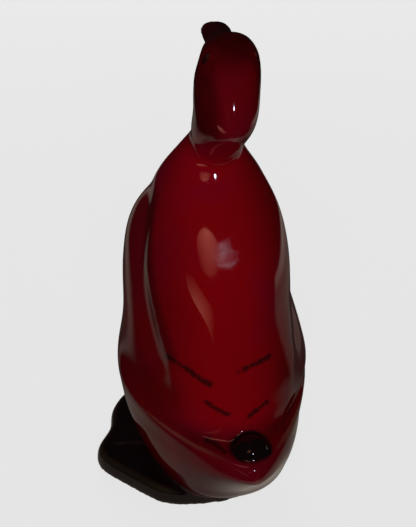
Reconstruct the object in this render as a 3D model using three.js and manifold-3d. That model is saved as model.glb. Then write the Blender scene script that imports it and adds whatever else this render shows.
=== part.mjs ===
// Duck figurine: an upright glazed duck, cast in one piece, standing on its webbed feet.
// Millimetres, +Z up, the duck faces -Y, its left side is +X and it stands on z = 0.
// The origin is under the middle of its bounding box.
import * as THREE from 'three';
import { mergeVertices } from 'three/addons/utils/BufferGeometryUtils.js';
import Module from 'manifold-3d';

const wasm = await Module();
wasm.setup();

const DEG = Math.PI / 180;

// Trunk, from the sole of the body up over tail, back, breast, neck and head to the face.
// Each section is a slanted oval: its front and back points in the mid-plane, as [y, z], and
// half its width. Its widest line lies at the share `middle` of the way from front to back.
// A corner of 2 leaves the rear half round, less draws it in to a tongue, more squares it.
const trunkSections = [
  { name: 'sole', front: [6, 1.5], back: [26, 1.5], half: 11, middle: 0.5, corner: 2.2 },
  { name: 'seat', front: [-6, 5], back: [35.5, 4.5], half: 19.5, middle: 0.47, corner: 2.2 },
  { name: 'rump', front: [-16.5, 16.5], back: [41, 11], half: 26.2, middle: 0.42, corner: 1.9 },
  { name: 'lip', front: [-23.6, 31], back: [50, 19.4], half: 29.8, middle: 0.38, corner: 1.6 },
  { name: 'rim', front: [-26.4, 39.5], back: [52, 22.4], half: 30.4, middle: 0.38, corner: 1.5 },
  { name: 'hollow', front: [-28.4, 45.5], back: [49.2, 27.6], half: 30.6, middle: 0.4, corner: 1.55 },
  { name: 'coverts', front: [-30.2, 52], back: [40.6, 29.2], half: 30.2, middle: 0.43, corner: 1.65 },
  { name: 'flank', front: [-31.8, 58.5], back: [36.4, 35.8], half: 29.2, middle: 0.46, corner: 1.9 },
  { name: 'loin', front: [-33.6, 66], back: [34.4, 47.5], half: 28, middle: 0.5, corner: 2 },
  { name: 'girth', front: [-36, 77], back: [33, 64], half: 26.6, middle: 0.5, corner: 2 },
  { name: 'breast', front: [-31.5, 91], back: [31, 80], half: 25.4, middle: 0.5, corner: 2 },
  { name: 'crop', front: [-20, 102.5], back: [24.8, 95.5], half: 21.5, middle: 0.5, corner: 2 },
  { name: 'shoulder', front: [-13, 112], back: [18, 107], half: 16.8, middle: 0.5, corner: 2 },
  { name: 'collar', front: [-5.5, 121], back: [14.4, 113.4], half: 11.8, middle: 0.5, corner: 2 },
  { name: 'neck', front: [1.5, 129], back: [13.4, 118.6], half: 8.4, middle: 0.5, corner: 2 },
  { name: 'throat', front: [4, 135], back: [20.2, 125.2], half: 9, middle: 0.5, corner: 2 },
  { name: 'nape', front: [4.5, 140], back: [26.9, 132.6], half: 9.6, middle: 0.5, corner: 2 },
  { name: 'cheek', front: [4, 143], back: [26.9, 139.6], half: 10.1, middle: 0.5, corner: 2 },
  { name: 'poll', front: [3, 144.5], back: [21.8, 150.6], half: 10.3, middle: 0.5, corner: 2 },
  { name: 'crown', front: [1, 145], back: [15, 157.4], half: 9.4, middle: 0.5, corner: 2 },
  { name: 'brow', front: [-1.5, 145], back: [7, 159.2], half: 8, middle: 0.5, corner: 2 },
  { name: 'lore', front: [-4, 145.4], back: [0, 155.8], half: 6.6, middle: 0.5, corner: 2 },
  { name: 'face', front: [-6, 146], back: [-4.5, 152.4], half: 5, middle: 0.5, corner: 2 },
];
const trunkRings = 80;
const trunkSides = 44;

// Skin of the trunk at some of the sections. The folded wings lie on the back as a raised
// shield, with its edge at an angle in degrees from the middle of the back; step and hip are
// how far the shield and the hip of each leg stand proud, in mm.
const skin = {
  sole: { edge: 60, step: 0, hip: 0 },
  seat: { edge: 52, step: 0, hip: 0 },
  rump: { edge: 46, step: 0, hip: 0 },
  lip: { edge: 42, step: 0, hip: 0.1 },
  rim: { edge: 40, step: 0, hip: 0.7 },
  hollow: { edge: 36, step: 0, hip: 1.7 },
  coverts: { edge: 37, step: 0.3, hip: 2.3 },
  flank: { edge: 42, step: 1, hip: 1.8 },
  loin: { edge: 49, step: 1.5, hip: 1 },
  girth: { edge: 61, step: 1.6, hip: 0.2 },
  breast: { edge: 71, step: 1.5, hip: 0 },
  crop: { edge: 76, step: 1.1, hip: 0 },
  shoulder: { edge: 78, step: 0.5, hip: 0 },
};
const plainSkin = { edge: 74, step: 0, hip: 0 };
const edgeColumn = 9;
const edgeHalf = 4.5;
const hipAngle = { middle: 70, reach: 32 };
// The weight is on the right leg: its hip is fuller and higher than the left one, by these shares
// of the hip and of the trunk's length.
const hipFuller = 0.6;
const hipTilt = 0.02;
// The body sways a little with it: to the left at the breast and to the right at the flank.
const sway = { flank: -0.4, girth: 0.8, breast: 0.6 };

// The head turns and leans a little to the duck's right. Each section from the nape up takes
// a share of the turn, in degrees about an upright axis, and of the lean, in millimetres.
const head = { turn: -9, lean: -3.3, axisY: 15 };
const headShare = { nape: 0.1, cheek: 0.28, poll: 0.6, crown: 0.9, brow: 1, lore: 1, face: 1 };

const smooth = (from, to, value) => {
  const t = Math.min(1, Math.max(0, (value - from) / (to - from)));
  return t * t * (3 - 2 * t);
};

// Smooth curve through the three numbers that `pick` takes from each section.
function through(sections, pick) {
  const points = sections.map((section) => new THREE.Vector3(...pick(section)));
  return new THREE.CatmullRomCurve3(points, false, 'catmullrom', 0.5);
}

function turnWithHead(point, share) {
  const turn = head.turn * share * DEG;
  const y = point.y - head.axisY;
  return new THREE.Vector3(
    head.lean * share + point.x * Math.cos(turn) - y * Math.sin(turn),
    head.axisY + point.x * Math.sin(turn) + y * Math.cos(turn),
    point.z,
  );
}

// Point of a lofted oval at t, from 0 at the first section to 1 at the last, and at an angle
// in degrees from its back point, standing `proud` of it in mm.
function ovalLoft(sections) {
  const front = through(sections, (s) => [0, ...s.front]);
  const back = through(sections, (s) => [0, ...s.back]);
  const form = through(sections, (s) => [s.half, s.middle ?? 0.5, s.corner ?? 2]);
  return (t, angle, proud = 0) => {
    const { x: half, y: middle, z: corner } = form.getPoint(t);
    const centre = front.getPoint(t).lerp(back.getPoint(t), middle);
    const cos = Math.cos(angle * DEG);
    const sin = Math.sin(angle * DEG);
    const power = cos > 0 ? 2 / corner : 1;
    const out = (cos > 0 ? back : front).getPoint(t).sub(centre);
    out.setLength((out.length() + proud) * Math.abs(cos) ** power);
    out.x = (half + proud) * Math.sign(sin) * Math.abs(sin) ** power;
    return centre.add(out);
  };
}

const skinOf = (section) => skin[section.name] ?? plainSkin;
const trunkOval = ovalLoft(trunkSections);
const trunkSkin = through(trunkSections, (s) => [skinOf(s).edge, skinOf(s).step, skinOf(s).hip]);
const trunkBearing = through(trunkSections, (s) => [headShare[s.name] ?? 0, sway[s.name] ?? 0, 0]);

function trunkPoint(t, angle) {
  const { x: edge, y: step } = trunkSkin.getPoint(t);
  const side = Math.sign(angle);
  const fuller = side < 0 ? 1 + hipFuller : 1;
  const hip = fuller * trunkSkin.getPoint(Math.min(1, Math.max(0, t + hipTilt * side))).z;
  const fromBack = Math.abs(angle);
  const onWing = 1 - smooth(-edgeHalf, edgeHalf, fromBack - edge);
  const onHip = Math.exp(-(((fromBack - hipAngle.middle) / hipAngle.reach) ** 2));
  const point = trunkOval(t, angle, step * onWing + hip * onHip);
  const { x: turned, y: aside } = trunkBearing.getPoint(t);
  point.x += aside;
  return turnWithHead(point, turned);
}

// Columns of points are spread evenly on both sides of the wing's edge, whose slope lies between
// two of them.
function columnAngle(column, edge) {
  const half = trunkSides / 2;
  const place = column > half ? trunkSides - column : column;
  const onWing = edge - edgeHalf;
  const offWing = edge + edgeHalf;
  const angle = place <= edgeColumn
    ? onWing * place / edgeColumn
    : offWing + (180 - offWing) * (place - edgeColumn - 1) / (half - edgeColumn - 1);
  return column > half ? -angle : angle;
}

function trunk() {
  return ringSolid(Array.from({ length: trunkRings }, (_, ring) => {
    const t = ring / (trunkRings - 1);
    const edge = trunkSkin.getPoint(t).x;
    return Array.from({ length: trunkSides }, (__, column) => trunkPoint(t, columnAngle(column, edge)));
  }));
}

// Bill: ovals standing across its length, as bottom and top points; deep at the face, drawn
// in behind a broad flat tip.
const billSections = [
  { front: [0, 146.8], back: [1, 154.5], half: 6.4 },
  { front: [-6, 145.6], back: [-5.5, 152.6], half: 5.6 },
  { front: [-11.5, 146], back: [-11.2, 151.4], half: 5 },
  { front: [-17.5, 146.6], back: [-17.2, 151], half: 5.2 },
  { front: [-22, 147.4], back: [-21.8, 151], half: 4.7 },
  { front: [-24, 148.4], back: [-23.9, 150.6], half: 2.7 },
];
const billRings = 14;
const billSides = 20;

function bill() {
  const billOval = ovalLoft(billSections);
  return ringSolid(Array.from({ length: billRings }, (_, ring) => (
    Array.from({ length: billSides }, (__, side) => (
      turnWithHead(billOval(ring / (billRings - 1), 360 * side / billSides), 1)
    ))
  )));
}

// Eyes: small low domes on the sides of the head, at a place along the trunk and an angle.
const eye = { place: 0.853, angle: 54, radius: [1.3, 1.9, 1.9], rise: 0.1, detail: [12, 8] };

function eyeSolid(side) {
  const at = trunkPoint(eye.place, side * eye.angle);
  at.x -= side * (eye.radius[0] - eye.rise);
  return ballSolid(at.toArray(), eye.radius, eye.detail);
}

// Curl of the tail feathers: a small dome on top of the tail.
const curl = { centre: [-0.7, 42.2, 26.8], radius: [6.5, 6.4, 6.5], detail: [18, 12] };

// Legs: short shanks that come out of the belly and stand in the feet.
const leg = { x: 14, y: -9, bottom: 4, top: 20, bottomRadius: 4.4, topRadius: 5.6, sides: 16 };

function legSolid(side) {
  const height = leg.top - leg.bottom;
  const geometry = new THREE.CylinderGeometry(leg.topRadius, leg.bottomRadius, height, leg.sides);
  geometry.rotateX(90 * DEG);
  geometry.translate(side * leg.x, leg.y, leg.bottom + height / 2);
  return plainSolid(geometry);
}

// Feet: the two webbed feet run together into one low plate with a scalloped outline.
// The outline is a smooth closed curve, counter-clockwise from the heel, as [x, y].
const footOutline = [
  [2, 31], [14, 30], [24.5, 25.5], [32, 14.5], [39, 2], [38.5, -6], [31.5, -16],
  [27.5, -27], [19, -36], [9, -33], [0, -27], [-9, -33], [-19, -36], [-27, -28],
  [-30, -17], [-33.5, -7], [-31, 3], [-24, 12], [-15, 21], [-7, 28],
];
const feet = { thickness: 6.4, edgeRound: 3, around: 84, wallSteps: 3, middleY: 2 };

function footPlate() {
  const points = footOutline.map(([x, y]) => new THREE.Vector3(x, y, 0));
  const outline = new THREE.CatmullRomCurve3(points, true, 'catmullrom', 0.5)
    .getPoints(feet.around).slice(0, -1);
  const middle = new THREE.Vector3(0, feet.middleY, 0);
  const ringAt = (inset, height) => outline.map((p) => {
    const out = p.clone().sub(middle);
    out.setLength(out.length() - inset);
    return out.add(middle).setZ(height);
  });
  const rings = [ringAt(0, 0)];
  for (let i = 0; i <= feet.wallSteps; i++) {
    const a = 90 * DEG * i / feet.wallSteps;
    const inset = feet.edgeRound * (1 - Math.cos(a));
    rings.push(ringAt(inset, feet.thickness - feet.edgeRound * (1 - Math.sin(a))));
  }
  return ringSolid(rings);
}

// Toes: long low ridges on the plate, from each ankle to the points of its outline.
const toe = { half: 3, rise: 1.5, sink: 1.2, detail: [12, 8] };
const toes = [
  { from: [16, 3], to: [36.5, -4] }, { from: [15, 0], to: [19.5, -33] }, { from: [13, 0], to: [9, -30] },
  { from: [-14, 3], to: [-31, -6] }, { from: [-15, 0], to: [-19.5, -33] }, { from: [-13, 0], to: [-9, -30] },
];

function toeSolid({ from, to }) {
  const run = [to[0] - from[0], to[1] - from[1]];
  const centre = [(from[0] + to[0]) / 2, (from[1] + to[1]) / 2, feet.thickness - toe.sink];
  const radius = [Math.hypot(...run) / 2, toe.half, toe.rise + toe.sink];
  return ballSolid(centre, radius, toe.detail, Math.atan2(run[1], run[0]));
}

// Ellipsoid with its poles along X, turned about Z.
function ballSolid(centre, radius, detail, turn = 0) {
  const geometry = new THREE.SphereGeometry(1, ...detail);
  geometry.rotateZ(90 * DEG);
  geometry.scale(...radius);
  geometry.rotateZ(turn);
  geometry.translate(...centre);
  return plainSolid(geometry);
}

function plainSolid(geometry) {
  const merged = mergeVertices(geometry.deleteAttribute('normal').deleteAttribute('uv'), 1e-4);
  return solidFrom([...merged.attributes.position.array], [...merged.index.array]);
}

// Closed solid through a row of rings that all have the same number of points. Each
// four-cornered face is split along its shorter diagonal.
function ringSolid(rings) {
  const count = rings[0].length;
  const points = rings.flat();
  const positions = points.flatMap((p) => p.toArray());
  const index = [];
  for (let i = 0; i + 1 < rings.length; i++) {
    for (let j = 0; j < count; j++) {
      const a = i * count + j;
      const b = i * count + (j + 1) % count;
      const c = b + count;
      const d = a + count;
      const rising = points[a].distanceTo(points[c]) < points[b].distanceTo(points[d]);
      index.push(...(rising ? [a, b, c, a, c, d] : [a, b, d, b, c, d]));
    }
  }
  [[0, true], [rings.length - 1, false]].forEach(([row, flip]) => {
    const middle = new THREE.Vector3();
    rings[row].forEach((p) => middle.addScaledVector(p, 1 / count));
    const hub = positions.length / 3;
    positions.push(...middle.toArray());
    for (let j = 0; j < count; j++) {
      const a = row * count + j;
      const b = row * count + (j + 1) % count;
      index.push(hub, ...(flip ? [b, a] : [a, b]));
    }
  });
  return solidFrom(positions, index);
}

// Solid from plain positions and triangles; one turned inside out is righted.
function solidFrom(positions, index) {
  const geometry = new THREE.BufferGeometry();
  geometry.setAttribute('position', new THREE.Float32BufferAttribute(positions, 3));
  geometry.setIndex(index);
  const merged = mergeVertices(geometry, 1e-4);
  const vertProperties = new Float32Array(merged.attributes.position.array);
  const triVerts = new Uint32Array(merged.index.array);
  const corner = (i) => new THREE.Vector3().fromArray(vertProperties, 3 * triVerts[i]);
  let volume = 0;
  for (let i = 0; i < triVerts.length; i += 3) {
    volume += corner(i).dot(corner(i + 1).cross(corner(i + 2)));
  }
  if (volume < 0) triVerts.reverse();
  return new wasm.Manifold(new wasm.Mesh({ numProp: 3, vertProperties, triVerts }));
}

function meshOf(solid, name, material) {
  const { vertProperties, triVerts } = solid.getMesh();
  const geometry = new THREE.BufferGeometry();
  geometry.setAttribute('position', new THREE.Float32BufferAttribute(vertProperties, 3));
  geometry.setIndex([...triVerts]);
  geometry.computeVertexNormals();
  const mesh = new THREE.Mesh(geometry, material);
  mesh.name = name;
  return mesh;
}

const masses = [
  trunk(), bill(), eyeSolid(1), eyeSolid(-1), legSolid(1), legSolid(-1),
  ballSolid(curl.centre, curl.radius, curl.detail), footPlate(), ...toes.map(toeSolid),
];
const whole = masses.reduce((sum, mass) => sum.add(mass));
const { min, max } = whole.boundingBox();
const duck = whole.translate([-(min[0] + max[0]) / 2, -(min[1] + max[1]) / 2, -min[2]]);

const glaze = new THREE.MeshStandardMaterial({ color: 0x8a0a12, roughness: 0.12, metalness: 0 });
const group = new THREE.Group();
group.add(meshOf(duck, 'duck_figurine', glaze));

export default group;
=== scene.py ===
import math

import bpy
import numpy as np
from mathutils import Matrix, Vector


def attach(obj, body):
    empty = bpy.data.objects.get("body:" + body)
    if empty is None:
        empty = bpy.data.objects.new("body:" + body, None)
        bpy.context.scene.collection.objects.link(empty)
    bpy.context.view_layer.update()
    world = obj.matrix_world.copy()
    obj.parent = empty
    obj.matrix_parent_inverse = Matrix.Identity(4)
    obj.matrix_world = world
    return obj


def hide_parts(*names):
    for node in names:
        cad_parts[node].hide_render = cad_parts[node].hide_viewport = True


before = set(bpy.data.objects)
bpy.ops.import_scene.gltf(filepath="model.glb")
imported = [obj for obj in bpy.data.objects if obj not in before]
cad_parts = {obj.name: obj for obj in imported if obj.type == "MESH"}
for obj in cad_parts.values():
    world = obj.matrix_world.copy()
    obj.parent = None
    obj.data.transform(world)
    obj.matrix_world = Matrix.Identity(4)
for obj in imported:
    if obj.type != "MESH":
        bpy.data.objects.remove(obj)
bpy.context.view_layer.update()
mm = 0.001
centring = (-3.06, -7.92, 0)  # mm that the CAD moves the duck, onto the middle of its bounding box
footTop = 6.4  # mm, the upper side of the webs
white = (1, 1, 1, 1)
print("frame loaded")

# The photo is taken from behind the duck, a little from its left, looking down on it.
photoCamera = {
    "azimuth": 162,            # degrees round the duck, 0 looks along +Y
    "elevation": 30,           # degrees above the table
    "distance": 560 * mm,
    "aim": (centring[0] * mm, centring[1] * mm, 75 * mm),
    "viewHeight": 174.6 * mm,  # what the picture's height covers at the aim
    "sensor": 36,              # height of the sensor in millimetres
    "nearest": 10 * mm,        # the least distance at which it sees things
}


def selectOnly(piece):
    bpy.ops.object.select_all(action="DESELECT")
    piece.select_set(True)
    bpy.context.view_layer.objects.active = piece


def applyModifier(piece, kind, **settings):
    selectOnly(piece)
    modifier = piece.modifiers.new(kind, kind)
    for name, value in settings.items():
        setattr(modifier, name, value)
    bpy.ops.object.modifier_apply(modifier=modifier.name)


def direction(azimuth, elevation):  # unit vector from the duck, both angles in degrees
    turn = math.radians(azimuth)
    rise = math.radians(elevation)
    flat = math.cos(rise)
    return Vector((math.sin(turn) * flat, -math.cos(turn) * flat, math.sin(rise)))


def lookAt(thing, place, target):
    thing.location = place
    thing.rotation_euler = (Vector(target) - Vector(place)).to_track_quat("-Z", "Y").to_euler()


def makeCamera():
    aim = Vector(photoCamera["aim"])
    out = direction(photoCamera["azimuth"], photoCamera["elevation"])
    bpy.ops.object.camera_add()
    camera = bpy.context.active_object
    camera.name = "photoCamera"
    lookAt(camera, aim + photoCamera["distance"] * out, aim)
    lens = camera.data
    lens.sensor_fit = "VERTICAL"
    lens.sensor_height = photoCamera["sensor"]
    lens.lens = photoCamera["sensor"] * photoCamera["distance"] / photoCamera["viewHeight"]
    lens.clip_start = photoCamera["nearest"]
    bpy.context.scene.camera = camera


makeCamera()
print("camera placed")


# One output socket, so that sums and products of sockets read as plain maths.
class Wire:
    def __init__(self, tree, socket=None):
        self.tree = tree
        self.socket = socket

    def node(self, kind, settings=None, inputs=None, output=0):
        made = self.tree.nodes.new(kind)
        for name, value in (settings or {}).items():
            setattr(made, name, value)
        for name, value in (inputs or {}).items():
            if isinstance(value, Wire):
                self.tree.links.new(value.socket, made.inputs[name])
            else:
                made.inputs[name].default_value = value
        return Wire(self.tree, made.outputs[output])

    def maths(self, operation, other=0):
        return self.node("ShaderNodeMath", {"operation": operation}, {0: self, 1: other})

    def __add__(self, other):
        return self.maths("ADD", other)

    def __sub__(self, other):
        return self.maths("SUBTRACT", other)

    def __rsub__(self, other):
        return self * -1 + other

    def __mul__(self, other):
        return self.maths("MULTIPLY", other)

    def __truediv__(self, other):
        return self.maths("DIVIDE", other)

    __radd__ = __add__
    __rmul__ = __mul__

    def larger(self, other):
        return self.maths("MAXIMUM", other)

    def distance(self, middle):
        inputs = {0: self, 1: middle}
        return self.node("ShaderNodeVectorMath", {"operation": "DISTANCE"}, inputs, "Value")

    def fade(self, low, high):  # 0 up to low, 1 from high on, smooth between; low may be the larger
        return self.node(
            "ShaderNodeMapRange",
            {"interpolation_type": "SMOOTHSTEP"},
            {"Value": self, "From Min": low, "From Max": high},
        )

    def mixed(self, first, second):  # this wire is the share of the second colour
        return self.node("ShaderNodeMix", {"data_type": "RGBA"}, {0: self, 6: first, 7: second}, 2)


def grey(tone):
    return tone, tone, tone, 1


def newMaterial(name):
    material = bpy.data.materials.new(name)
    material.use_nodes = True
    shader = material.node_tree.nodes["Principled BSDF"]
    return material, shader, Wire(material.node_tree)


def feed(shader, socket, wire):
    wire.tree.links.new(wire.socket, shader.inputs[socket])


def numbers(mesh, name):  # vertex places in millimetres or unit normals, one row each
    values = np.zeros(3 * len(mesh.vertices))
    if name == "places":
        mesh.vertices.foreach_get("co", values)
        return values.reshape(-1, 3) / mm
    mesh.vertex_normals.foreach_get("vector", values)
    return values.reshape(-1, 3)


def soft(low, high, value):  # the same as a wire's fade, for numbers
    share = np.clip((value - low) / (high - low), 0, 1)
    return share * share * (3 - 2 * share)


def bell(distance, half):  # 1 in the middle, fading out on both sides
    return np.exp(-((distance / half) ** 2))


def store(mesh, name, values):
    layer = mesh.attributes.new(name, "FLOAT", "POINT")
    layer.data.foreach_set("value", np.asarray(values, dtype=np.float32))


# The glazed body is the solid's own form: its facets are rounded, then all its masses are
# fused into one skin, as the thick glaze does on the real duck.
bodyForm = {
    "merge": 0.002 * mm,    # gap up to which the solid's loose corners are joined
    "quadBend": 40,         # degrees that two triangles may be bent to become one quad
    "quadSkew": 60,         # and degrees that its corners may be off square
    "rounding": 2,          # subdivision levels that round the facets
    "sharp": 48,            # degrees from which an edge is kept by the rounding
    "grain": 0.68 * mm,     # size of the fused skin's faces
    "flow": 5,              # smoothing passes that make the glaze flow over edges
    "flowShare": 0.5,       # how far a pass moves a place towards the middle of its neighbours
    "soleTop": 1.2,         # mm up to which the foot's lower edge is smoothed further
    "soleFlow": 4,
}


def smoothSkin(piece, passes, group=""):
    share = bodyForm["flowShare"]
    applyModifier(piece, "SMOOTH", factor=share, iterations=passes, vertex_group=group)


def makeBody():
    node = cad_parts["duck_figurine"]
    body = bpy.data.objects.new("glazedDuck", node.data.copy())
    bpy.context.scene.collection.objects.link(body)
    body.data.materials.clear()
    selectOnly(body)
    bpy.ops.object.mode_set(mode="EDIT")
    bpy.ops.mesh.select_all(action="SELECT")
    bpy.ops.mesh.remove_doubles(threshold=bodyForm["merge"])
    bpy.ops.mesh.tris_convert_to_quads(
        face_threshold=math.radians(bodyForm["quadBend"]),
        shape_threshold=math.radians(bodyForm["quadSkew"]),
    )
    bpy.ops.mesh.select_all(action="DESELECT")
    bpy.ops.mesh.edges_select_sharp(sharpness=math.radians(bodyForm["sharp"]))
    bpy.ops.transform.edge_crease(value=1)
    bpy.ops.object.mode_set(mode="OBJECT")
    applyModifier(body, "SUBSURF", levels=bodyForm["rounding"], render_levels=bodyForm["rounding"])
    applyModifier(body, "REMESH", mode="VOXEL", voxel_size=bodyForm["grain"])
    smoothSkin(body, bodyForm["flow"])
    sole = body.vertex_groups.new(name="sole")
    low = np.nonzero(numbers(body.data, "places")[:, 2] < bodyForm["soleTop"])[0]
    sole.add(low.tolist(), 1, "REPLACE")
    smoothSkin(body, bodyForm["soleFlow"], "sole")
    body.vertex_groups.clear()
    selectOnly(body)
    bpy.ops.object.shade_smooth()
    return body


body = makeBody()
print("body fused:", len(body.data.polygons), "faces")

# Places are in millimetres: to the duck's left, to its tail and up from the table. Those on
# the trunk and the head are given before the duck is centred on its bounding box, and those
# on the head also before the head turns and leans.
pose = {
    "headTurn": -9,         # degrees, to the duck's right
    "headLean": -3.3,       # how far the head lies to the right of the middle
    "headAxis": 15,         # the place towards the tail round which the head turns
}


def onTrunk(side, places):
    return [np.array((side * x, y, z)) + centring for x, y, z in places]


def onHead(side, places):
    turn = math.radians(pose["headTurn"])
    turned = []
    for x, y, z in places:
        x = side * x
        y = y - pose["headAxis"]
        turned.append((
            pose["headLean"] + x * math.cos(turn) - y * math.sin(turn),
            pose["headAxis"] + x * math.sin(turn) + y * math.cos(turn),
            z,
        ))
    return onTrunk(1, turned)


wingEdge = [
    (19.4, 1.8, 103.5), (22.8, 7.3, 93.6), (24.2, 13.7, 82.6), (23.6, 18.0, 71.0), (21.9, 23.7, 58.0),
]
mouthLine = [
    (6.6, 0.5, 150.4), (5.6, -6, 148.6), (5.0, -11.5, 148.1), (5.2, -17.5, 148.3), (4.6, -22, 149.0),
]
mouthTip = [(4.6, -22, 149.0), (2.6, -24, 149.4), (-2.6, -24, 149.4), (-4.6, -22, 149.0)]
nostril = [(2.4, -5.2, 152.0), (2.2, -7.6, 151.6)]
webFolds = [
    [(19, -8, footTop), (26.5, -16, footTop)],
    [(14, -10, footTop), (14, -28, footTop)],
    [(11, -8, footTop), (3, -22, footTop)],
]


def rounded(points):  # cuts the corners of a line twice, a quarter in from each end
    for _ in range(2):
        cut = [points[0]]
        for start, end in zip(points, points[1:]):
            cut += [0.75 * start + 0.25 * end, 0.25 * start + 0.75 * end]
        points = cut + [points[-1]]
    return points


def fromLine(piece, places, line):  # way from the line, laid on the surface, to each place
    farAway = 99.0  # mm, beyond which no line has an effect

    def snapped(point):
        return np.array(piece.closest_point_on_mesh(Vector(point) * mm)[1]) / mm

    way = np.full(places.shape, farAway)
    gap = np.full(len(places), farAway)
    points = [snapped(point) for point in rounded([np.array(point) for point in line])]
    for start, end in zip(points, points[1:]):
        run = end - start
        if run @ run == 0:
            continue
        share = np.clip((places - start) @ run / (run @ run), 0, 1)
        off = places - start - share[:, None] * run
        length = np.linalg.norm(off, axis=1)
        way[length < gap] = off[length < gap]
        gap = np.minimum(gap, length)
    return way


def lineGap(piece, places, line):
    return np.linalg.norm(fromLine(piece, places, line), axis=1)


def bulge(piece, passes):  # how far each place stands out of the skin smoothed round it
    places = numbers(piece.data, "places")
    copied = bpy.data.objects.new("smoothedSkin", piece.data.copy())
    bpy.context.scene.collection.objects.link(copied)
    smoothSkin(copied, passes)
    smoothed = numbers(copied.data, "places")
    bpy.data.objects.remove(copied)
    return np.einsum("ij,ij->i", places - smoothed, numbers(piece.data, "normals"))


eyes = {
    "place": (8.4, 13.6, 153.9),
    "ring": 2.5,            # radius of the groove round the eye
    "dark": (2.2, 1.6),     # distances over which the dark eye comes in
    "clear": 0.28,          # how far the head's painted shade is lifted at the eye
    "clears": (8.5, 1.5),   # and the distances over which it clears
}
eyePlaces = [onHead(side, [eyes["place"]])[0] for side in (1, -1)]
relief = {
    "crisp": 0.3,           # share by which creases and the wing's edge are sharpened
    "crispPasses": 40,
    "crispMost": 0.5,       # height of a bulge that counts at most
    "crispFrom": (9, 14),   # heights over which it begins above the foot
    "wingStep": 0.9,        # height that the wing's edge gains over the flank below it
    "wingSlope": 4.4,       # half the width of that step
    "wingReach": 9,         # how far the flank stays sunk
    "wingTop": (112, 101),  # heights over which the step grows to its full depth
    "wingEnd": 2,           # how far the step runs on past the ends of the edge
    "wingFade": 5,          # and over what way it then fades
    "wingAcross": (0, 0.94, 0.33),  # across the edge, towards the middle of the back
    "mouthDepth": 0.4,      # a groove's depth, and half its width
    "mouthHalf": 0.75,
    "nostrilDepth": 0.5,
    "nostrilHalf": 0.9,
    "webDepth": 0.45,
    "webHalf": 1.6,
    "ringDepth": 0.3,
    "ringHalf": 0.7,
}


def pushSkin(piece, amounts):  # moves each vertex along its normal, amounts in millimetres
    most = float(np.abs(amounts).max())
    least = 0.002  # share of the largest move below which a vertex stays where it is
    ways = ((1, "outward"), (-1, "inward"))
    for sign, name in ways:
        group = piece.vertex_groups.new(name=name)
        shares = np.clip(sign * amounts / most, 0, 1)
        for index in np.nonzero(shares > least)[0]:
            group.add([int(index)], float(shares[index]), "REPLACE")
    for sign, name in ways:
        strength = sign * most * mm
        applyModifier(piece, "DISPLACE", strength=strength, mid_level=0, vertex_group=name)
    piece.vertex_groups.clear()


def carveBody(piece):
    places = numbers(piece.data, "places")
    most = relief["crispMost"]
    push = relief["crisp"] * np.clip(bulge(piece, relief["crispPasses"]), -most, most)
    push *= soft(*relief["crispFrom"], places[:, 2])

    def groove(kind, lines):
        nonlocal push
        for line in lines:
            gap = lineGap(piece, places, line)
            push = push - relief[kind + "Depth"] * bell(gap, relief[kind + "Half"])

    for side in (1, -1):
        groove("mouth", [onHead(side, mouthLine)])
        groove("nostril", [onHead(side, nostril)])
        groove("web", [onTrunk(side, line) for line in webFolds])
        way = fromLine(piece, places, onTrunk(side, wingEdge))
        over = way @ np.array(relief["wingAcross"])
        past = np.sqrt(np.maximum(0, (way ** 2).sum(axis=1) - over ** 2))
        under = soft(relief["wingSlope"], -relief["wingSlope"], over)
        under *= bell(np.maximum(0, -over - relief["wingSlope"]), relief["wingReach"])
        under *= soft(*relief["wingTop"], places[:, 2])
        under *= bell(np.maximum(0, past - relief["wingEnd"]), relief["wingFade"])
        push = push - relief["wingStep"] * under
    groove("mouth", [onHead(1, mouthTip)])
    for place in eyePlaces:
        off = np.linalg.norm(places - place, axis=1) - eyes["ring"]
        push = push - relief["ringDepth"] * bell(off, relief["ringHalf"])
    pushSkin(piece, push)


carveBody(body)
print("relief carved")

# Feather strokes drawn in the glaze on the lower back, centred places near the surface.
featherStrokes = [
    [(19.2, 16.0, 57.4), (16.0, 19.6, 56.3), (12.3, 22.7, 54.1), (9.2, 24.7, 51.6), (7.2, 25.7, 50.3)],
    [(-13.3, 25.2, 56.6), (-10.2, 26.3, 56.4), (-6.5, 27.2, 55.7), (-2.3, 27.4, 54.8)],
    [(8.6, 25.8, 44.0), (5.9, 27.0, 41.6), (2.2, 28.3, 39.3)],
    [(-11.9, 27.2, 40.6), (-8.4, 28.3, 39.3), (-5.4, 29.0, 37.7)],
    [(8.8, 28.0, 30.6), (6.5, 30.5, 29.5), (4.8, 34.0, 28.9)],
]

# Where the marks of the glaze lie, in millimetres. A pair gives where a mark starts to come in
# and where it is full.
marks = {
    "footTop": (footTop + 3, footTop + 1),
    "footSlope": (-0.45, -0.2),     # what faces down further than this stays red
    "sole": (2, 1),                 # apart from the foot's lowest rim
    "legs": [(10.9, -16.9), (-17.1, -16.9)],
    "legReach": (8.5, 6.5),
    "legTop": (14, 9),
    "curlCentre": (-3.8, 34.3, 26.8),
    "curlReach": (7.7, 7.0),        # out from its centre
    "curlFoot": (27.2, 28.4),       # heights at which the curl sits on the tail
    "bill": (-11, -19),             # forward from the face
    "billFoot": (132, 140),         # heights below the bill
    "edgePasses": 30,               # smoothing passes that bring out the creases and ridges
    "hollowPasses": 110,            # and the wide hollows
}
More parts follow.
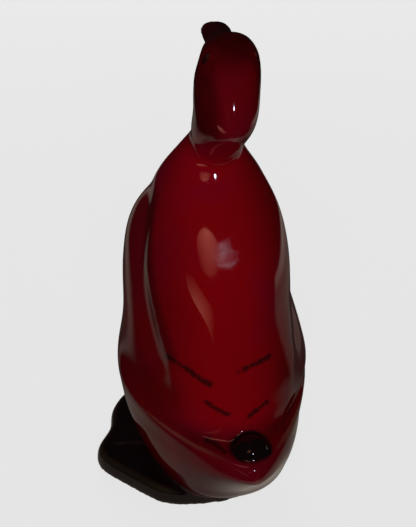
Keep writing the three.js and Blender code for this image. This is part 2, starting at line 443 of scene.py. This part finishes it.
# Painted shade on the head, flanks, sides, hollows, wing edges and underside, and darker down to the
# tail: shares and the millimetres over which they come in.
paintedShadeShares = {
    "head": (0.50, 120, 134),       # up the neck
    "crown": (0.46, 149.5, 157.5),  # over the top of the head
    "headSide": (0.42, 4.8, 9.0),   # out from the head's middle, which lies at headMiddle
    "headMiddle": -5.6,
    "headFoot": (126, 136),         # and up from the neck
    "tail": (0.62, 38, 30),         # down to the tail
    "tailFrom": (18, 26),           # and from the back outwards
    "hollow": (0.55, -0.15, -0.9),  # painted shade where the skin sinks in
    "flank": (0.50, 66, 40),        # down the flanks
    "flankFrom": (12, 22),          # and out from the middle
    "side": (0.45, 5, 24),          # out to the sides
    "sideTop": (124, 112),          # and down from the neck
    "wing": (0.55, 5.5, 1.5),       # painted shade along the edge of each wing
    "under": (0.90, -0.10, -0.45),  # painted shade on the underside, by the slope of the skin
    "underTop": (32, 26),           # and only this low
}


# Painted shade: how far each place is darkened, from 0 to 1.
def paintedShadeOver(piece, places):
    def share(name, value):
        most, start, full = paintedShadeShares[name]
        return most * soft(start, full, value)

    across, along, height = places.T
    head = share("head", height) + share("crown", height)
    beside = np.abs(across - paintedShadeShares["headMiddle"])
    head += share("headSide", beside) * soft(*paintedShadeShares["headFoot"], height)
    tail = share("tail", height) * soft(*paintedShadeShares["tailFrom"], along)
    tail = np.maximum(tail, share("flank", height) * soft(*paintedShadeShares["flankFrom"], np.abs(across)))
    hollow = share("hollow", bulge(piece, marks["hollowPasses"]))
    slope = numbers(piece.data, "normals")[:, 2]
    under = share("under", slope) * soft(*paintedShadeShares["underTop"], height)
    sides = share("side", np.abs(across)) * soft(*paintedShadeShares["sideTop"], height)
    clear = (1 - head.clip(0, 1)) * (1 - tail) * (1 - hollow) * (1 - sides) * (1 - under)
    for side in (1, -1):
        clear *= 1 - share("wing", lineGap(piece, places, onTrunk(side, wingEdge)))
    for place in eyePlaces:
        off = np.linalg.norm(places - place, axis=1)
        clear = np.maximum(clear, soft(*eyes["clears"], off) * eyes["clear"])
    return 1 - clear


def markBody(piece):
    mesh = piece.data
    places = numbers(mesh, "places")
    height = places[:, 2]
    slope = numbers(mesh, "normals")[:, 2]
    strokeGaps = [lineGap(piece, places, line) for line in featherStrokes]
    store(mesh, "strokeGap", np.min(strokeGaps, axis=0))
    foot = soft(*marks["footSlope"], slope) * soft(*marks["footTop"], height)
    foot = np.maximum(foot, soft(*marks["sole"], height))
    for leg in marks["legs"]:
        reach = np.linalg.norm(places[:, :2] - np.array(leg), axis=1)
        shank = soft(*marks["legReach"], reach) * soft(*marks["legTop"], height)
        foot = np.maximum(foot, shank)
    store(mesh, "foot", foot)
    outward = np.linalg.norm(places - np.array(marks["curlCentre"]), axis=1)
    store(mesh, "curl", soft(*marks["curlReach"], outward) * soft(*marks["curlFoot"], height))
    face = soft(*marks["bill"], places[:, 1]) * soft(*marks["billFoot"], height)
    for place in eyePlaces:
        off = np.linalg.norm(places - place, axis=1)
        face = np.maximum(face, soft(*eyes["dark"], off))
    store(mesh, "face", face)
    store(mesh, "bulge", bulge(piece, marks["edgePasses"]))
    # the painted shade, stored for the glaze
    store(mesh, "paintedShade", paintedShadeOver(piece, places))


markBody(body)
print("glaze marks placed")

glaze = {
    "red": (0.128, 0.0004, 0.0020, 1),
    "wine": (0.112, 0.0005, 0.0080, 1),
    "mottleAndShadeRed": (0.024, 0.0004, 0.0009, 1),   # darker red for the mottling, and for painted shade in creases, hollows and on the underside
    "thinGlazeAndSheen": (0.150, 0.085, 0.050, 1),       # over sharp edges: where it runs thin, and a painted highlight
    "dark": (0.0032, 0.0011, 0.0013, 1),    # feet, curl, strokes and bill
    "earth": (0.030, 0.018, 0.009, 1),      # thin dark glaze along the edges of the feet
    "paintedShadeMottle": 0.5,                      # how much the mottling shows in the painted shade
    "refraction": 1.5,
    "roughness": 0.055,
    "footRoughness": 0.05,                  # added on the feet
    "patchRoughness": 0.3,                  # and on the wrinkled patch
    "faceInk": 0.72,                        # share of the dark colour on bill and eyes
    "strokeInk": 0.8,                       # and in the feather strokes
    "wrinkled": (-1.5, 19.0, 93.0),         # middle of a wrinkled patch on the back, in mm
    "pitScale": 120,                        # small pits in each metre
}
# Noise in the glaze: waves in each metre, detail, roughness and height. A height is a share of
# a colour or, where it frays the strokes and the patch or lifts the skin, in millimetres.
noises = {
    "wine": (26, 4, 0.5, 1),
    "cloud": (140, 4, 0.6, 0.5),
    "speck": (620, 2, 0.5, 0.3),
    "strokeFray": (900, 3, 0.5, 2.2),
    "strokeSway": (160, 2, 0.5, 2),
    "strokeWear": (200, 1, 0.5, 1),
    "patchEdge": (300, 2, 0.5, 6),
    "patchWear": (420, 4, 0.5, 1),
    "patchSkin": (1300, 3, 0.5, 0.12),
    "dull": (35, 2, 0.5, 1),
    "swell": (55, 2, 0.5, 0.05),
    "grain": (700, 2, 0.5, 0.0035),
}
# What an effect adds at most, and the values of what it follows between which it comes in.
effects = {
    "wine": (1, 0.42, 0.68),
    "mottle": (0.35, 0, 0.4),
    "creaseShade": (0.6, -0.05, -0.45),
    "ridgeThinAndSheen": (0.35, 0.18, 0.50),
    "footRidge": (1, 0.10, 0.40),
    "stroke": (1, 1.6, 0.2),
    "strokeWear": (1, 0.12, 0.34),
    "patch": (1, 7, 2),
    "patchWear": (1, 0.35, 0.6),
    "dull": (0.05, 0.5, 0.8),
    "paintedShadeDull": (1, 0.5, 0.9),
    "creaseDull": (0.15, -0.2, -0.6),
    "pit": (0.05, 0.045, 0.02),
}


def makeGlaze():
    material, shader, wire = newMaterial("redGlaze")
    place = wire.node("ShaderNodeTexCoord", output="Object")

    def mark(name):
        return wire.node("ShaderNodeAttribute", {"attribute_name": name}, output="Fac")

    def noise(name):
        scale, detail, roughness, height = noises[name]
        inputs = {"Vector": place, "Scale": scale, "Detail": detail, "Roughness": roughness}
        return wire.node("ShaderNodeTexNoise", None, inputs, "Fac") * height

    def waver(name):  # noise that goes up and down by half its height
        return noise(name) - noises[name][3] / 2

    def effect(name, followed):
        most, low, high = effects[name]
        return followed.fade(low, high) * most

    paintedShade = mark("paintedShade")
    edge = mark("bulge")
    foot = mark("foot")
    mottle = waver("cloud") + waver("speck")
    colour = effect("wine", noise("wine")).mixed(glaze["red"], glaze["wine"])
    colour = effect("mottle", mottle).mixed(colour, glaze["mottleAndShadeRed"])
    # painted shade: the head, flanks, sides, hollows, wing edges and underside turn darker red
    colour = (paintedShade + mottle * glaze["paintedShadeMottle"] * paintedShade).mixed(colour, glaze["mottleAndShadeRed"])
    # painted shade in the creases
    colour = effect("creaseShade", edge).mixed(colour, glaze["mottleAndShadeRed"])
    # sharp ridges lightened: partly glaze running thin, partly a painted highlight
    colour = effect("ridgeThinAndSheen", edge).mixed(colour, glaze["thinGlazeAndSheen"])
    strokeGap = mark("strokeGap") + waver("strokeFray") + waver("strokeSway")
    stroke = effect("stroke", strokeGap) * effect("strokeWear", noise("strokeWear"))
    dark = foot.larger(mark("curl"))
    dark = dark.larger(mark("face") * glaze["faceInk"]).larger(stroke * glaze["strokeInk"])
    darkColour = (effect("footRidge", edge) * foot).mixed(glaze["dark"], glaze["earth"])
    feed(shader, "Base Color", dark.mixed(colour, darkColour))
    shader.inputs["IOR"].default_value = glaze["refraction"]

    middle = tuple(value * mm for value in glaze["wrinkled"])
    gap = place.distance(middle) / mm + waver("patchEdge")
    patch = effect("patch", gap) * effect("patchWear", noise("patchWear"))
    rough = effect("dull", noise("dull")) + foot * glaze["footRoughness"] + glaze["roughness"]
    rough = rough + patch * glaze["patchRoughness"]
    rough = rough + effect("paintedShadeDull", paintedShade) * effect("creaseDull", edge)
    feed(shader, "Roughness", rough)

    pitInputs = {"Vector": place, "Scale": glaze["pitScale"]}
    pits = effect("pit", wire.node("ShaderNodeTexVoronoi", None, pitInputs, "Distance"))
    skin = noise("swell") + noise("grain") + noise("patchSkin") * patch - pits
    bumpInputs = {"Strength": 1.0, "Distance": mm, "Height": skin}
    feed(shader, "Normal", wire.node("ShaderNodeBump", None, bumpInputs, "Normal"))
    return material


body.data.materials.append(makeGlaze())
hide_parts("duck_figurine")
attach(body, "root")
print("glaze laid on")

# The duck stands near the edges of a pale table in a dark room, and the glaze mirrors both.
# The camera itself sees only an even pale ground. A pair gives where the mirrored table, its
# glow or the duck's shadow on it starts and where it is full.
studio = {
    "floorRadius": 3,
    "floorSides": 96,
    "floorRoughness": 0.9,
    "floorTone": 0.14,
    "seenTone": 0.06,           # keeps the shadow at the feet faint where the camera sees it
    "floorGlow": 0.737,         # added where the camera sees the table itself
    "mirrorColour": (1, 0.86, 0.74, 1),
    "mirrorTone": 0.18,
    "leftEnd": (124 * mm, 84 * mm),     # to the duck's left
    "nearEnd": (16 * mm, -4 * mm),      # towards its tail, along a slanting edge
    "nearSlant": 0.15,
    "farEnd": (420 * mm, 330 * mm),     # and all round
    "rightGlow": 0.36,                  # the table is brighter far to the duck's right
    "rightFrom": (-200 * mm, -310 * mm),
    "tailGlow": 0.22,                   # and under its tail
    "tailPlace": (-24 * mm, 62 * mm, 0),
    "tailReach": (54 * mm, 34 * mm),
    "roundPlace": (-24 * mm, 0, 0),     # a round part that reaches further towards the tail
    "roundReach": (98 * mm, 78 * mm),
    "shadow": 0.85,                     # share of the light that the duck's own shadow takes
    "shadowFrom": (-15 * mm, -55 * mm),
    "shadowHalf": (115 * mm, 85 * mm),
    "roomTone": 0.783,                  # of the room as the camera sees it
    "roomLight": 0.03,                  # as it lights the duck
    "roomMirror": 0.006,                # and as the glaze mirrors it
}


def makeFloor():
    bpy.ops.mesh.primitive_circle_add(
        vertices=studio["floorSides"], radius=studio["floorRadius"], fill_type="NGON",
    )
    floor = bpy.context.active_object
    floor.name = "paleTable"
    material, shader, wire = newMaterial("paleTable")
    tree = material.node_tree
    place = wire.node("ShaderNodeTexCoord", output="Object")
    reach = place.distance((0, 0, 0))
    across = wire.node("ShaderNodeSeparateXYZ", None, {"Vector": place}, "X")
    along = wire.node("ShaderNodeSeparateXYZ", None, {"Vector": place}, "Y")
    mirrored = wire.node("ShaderNodeLightPath", output="Is Glossy Ray")
    seen = wire.node("ShaderNodeLightPath", output="Is Camera Ray")
    feed(shader, "Base Color", seen.mixed(grey(studio["floorTone"]), grey(studio["seenTone"])))
    shader.inputs["Roughness"].default_value = studio["floorRoughness"]
    shader.inputs["Specular IOR Level"].default_value = 0
    shader.inputs["Emission Color"].default_value = white
    feed(shader, "Emission Strength", seen * studio["floorGlow"])
    sight = direction(photoCamera["azimuth"], 0)
    nearing = across * sight.x + along * sight.y
    aside = (across * sight.y - along * sight.x).maths("ABSOLUTE")

    def spot(name):
        return place.distance(studio[name + "Place"]).fade(*studio[name + "Reach"])

    shadow = nearing.fade(*studio["shadowFrom"]) * aside.fade(*studio["shadowHalf"])
    table = (along + across * studio["nearSlant"]).fade(*studio["nearEnd"]).larger(spot("round"))
    table = table * across.fade(*studio["leftEnd"]) * reach.fade(*studio["farEnd"])
    tone = studio["mirrorTone"] + across.fade(*studio["rightFrom"]) * studio["rightGlow"]
    tone = tone + spot("tail") * studio["tailGlow"]
    level = table * tone * (1 - shadow * studio["shadow"]) + studio["roomMirror"]
    imageInputs = {"Color": studio["mirrorColour"], "Strength": level}
    image = wire.node("ShaderNodeEmission", None, imageInputs)
    mixInputs = {0: mirrored, 1: Wire(tree, shader.outputs[0]), 2: image}
    mix = wire.node("ShaderNodeMixShader", None, mixInputs)
    tree.links.new(mix.socket, tree.nodes["Material Output"].inputs["Surface"])
    floor.data.materials.append(material)


def makeRoom():
    world = bpy.data.worlds.new("studioRoom")
    bpy.context.scene.world = world
    world.use_nodes = True
    tree = world.node_tree
    wire = Wire(tree)
    seen = wire.node("ShaderNodeLightPath", output="Is Camera Ray")
    mirrored = wire.node("ShaderNodeLightPath", output="Is Glossy Ray")
    level = studio["roomLight"] + seen * (studio["roomTone"] - studio["roomLight"])
    level = level + mirrored * (studio["roomMirror"] - studio["roomLight"])
    tree.links.new(level.socket, tree.nodes["Background"].inputs["Strength"])
    tree.nodes["Background"].inputs["Color"].default_value = white


# Lamps round the duck: degrees round it and above the table, distance and size in metres and
# watts. The glaze mirrors only the small light among them.
lamps = {
    "keySoftbox": {"azimuth": 161, "elevation": 22, "distance": 0.9, "size": 0.4, "watts": 7.4},
    "overheadSoftbox": {"azimuth": 150, "elevation": 78, "distance": 0.9, "size": 0.7, "watts": 0.15},
    "frontSoftbox": {"azimuth": 345, "elevation": 16, "distance": 0.9, "size": 0.5, "watts": 7},
    "leftSoftbox": {"azimuth": 42, "elevation": 15, "distance": 0.9, "size": 0.5, "watts": 1.6},
    "rightSoftbox": {"azimuth": 304, "elevation": 15, "distance": 0.9, "size": 0.5, "watts": 1.6},
    "smallLight": {
        "azimuth": 183,
        "elevation": 24,
        "distance": 0.6,
        "size": 0.045,
        "watts": 0.22,
        "mirrored": True,
        "colour": (0.82, 0.80, 1),
    },
}

# Warm panels that hang close to the duck on the camera's side and are only mirrored: their
# upper and lower ends, width and the place they face in millimetres. They shine into a narrow
# cone, so the head and the tail mirror little of them.
warmPanels = {
    "warmPanel": {
        "top": (37.4, 99.9, 164.8),
        "bottom": (50.8, 129.0, 117.0),
        "width": 68,
        "target": (-3, -8, 75),
        "spread": 44,
        "watts": 0.0016,
    },
    "warmStrip": {
        "top": (122, 91, 115),
        "bottom": (29, 148, 10),
        "width": 40,
        "target": (14, 23, 120),
        "spread": 50,
        "watts": 0.0027,
    },
}
warmColour = (1, 0.33, 0.23)


def makeLight(name, width, height, watts):
    bpy.ops.object.light_add(type="AREA")
    light = bpy.context.active_object
    light.name = name
    light.data.shape = "ELLIPSE"
    light.data.size = width
    light.data.size_y = height
    light.data.energy = watts
    light.visible_camera = False
    return light


def makeLamps():
    aim = Vector(photoCamera["aim"])
    for name, lamp in lamps.items():
        light = makeLight(name, lamp["size"], lamp["size"], lamp["watts"])
        light.visible_glossy = lamp.get("mirrored", False)
        light.data.color = lamp.get("colour", (1, 1, 1))
        lookAt(light, aim + lamp["distance"] * direction(lamp["azimuth"], lamp["elevation"]), aim)
    for lightName, panel in warmPanels.items():
        top, bottom, target = (Vector(panel[name]) * mm for name in ("top", "bottom", "target"))
        middle = (top + bottom) / 2
        up = (top - bottom).normalized()
        side = up.cross(middle - target).normalized()
        light = makeLight(lightName, panel["width"] * mm, (top - bottom).length, panel["watts"])
        light.data.color = warmColour
        light.data.spread = math.radians(panel["spread"])
        light.visible_diffuse = False
        turned = Matrix((side, up, side.cross(up))).transposed()
        light.matrix_world = Matrix.Translation(middle) @ turned.to_4x4()


makeFloor()
makeRoom()
makeLamps()
bpy.context.scene.view_settings.view_transform = "Standard"
print("studio lit")
